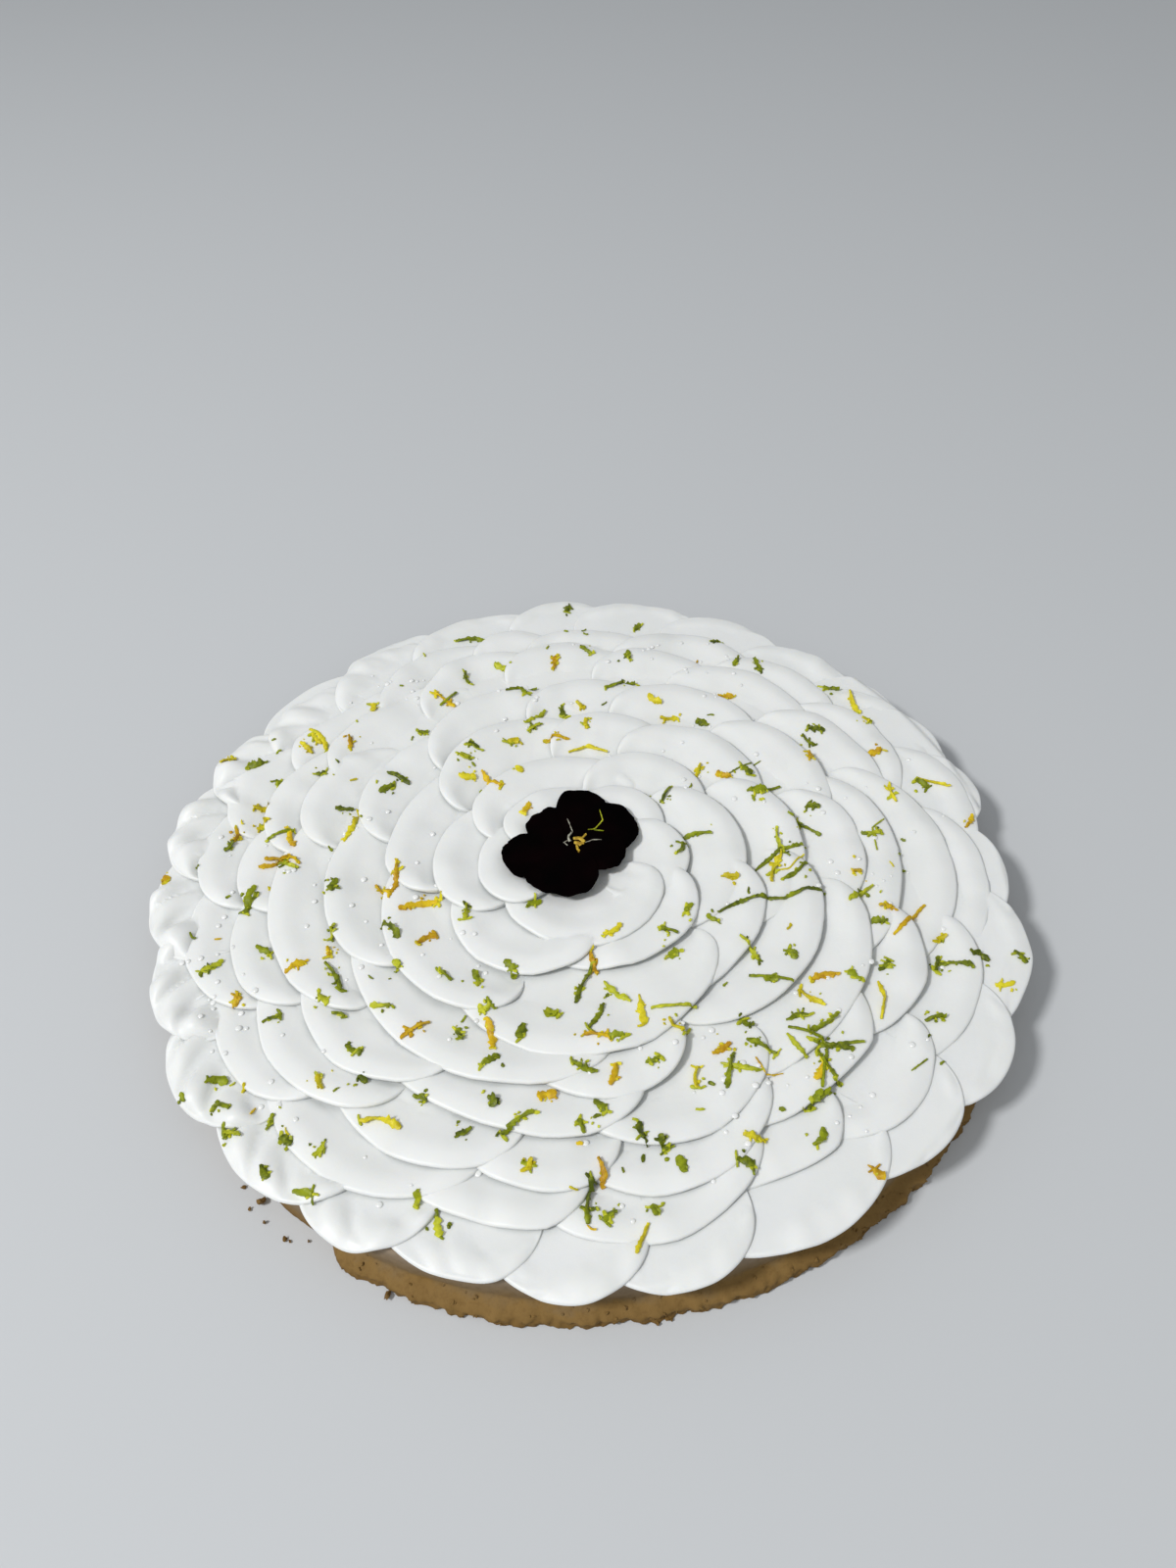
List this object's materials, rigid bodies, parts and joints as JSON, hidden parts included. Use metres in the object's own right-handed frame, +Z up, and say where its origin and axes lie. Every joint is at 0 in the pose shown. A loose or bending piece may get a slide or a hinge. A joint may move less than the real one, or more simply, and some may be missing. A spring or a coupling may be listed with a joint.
{
  "type": "cream tart",
  "caption": "Round uncut tart: crumbly pastry shell under overlapping piped cream petals, with strewn citrus zest and a dark viola in the middle.",
  "frame": {"origin": "centre of the pastry shell's flat underside", "axes": "+Z up through the flower, -Y towards the front of the tart"},
  "size_m": [0.2427, 0.2456, 0.0277],
  "materials": {
    "pastry": "baked biscuit pastry, matte and crumbly, browner at the rim and foot",
    "cream": "whipped cream, smooth with a soft sheen",
    "flower": "velvety petal, near black with a wine-red cast",
    "zest_green": "moist citrus rind, finely pitted",
    "zest_yellow": "moist citrus rind, finely pitted"
  },
  "bodies": {
    "root": {"crust": "pastry", "cream": "cream", "viola": "flower"}
  },
  "joints": []
}
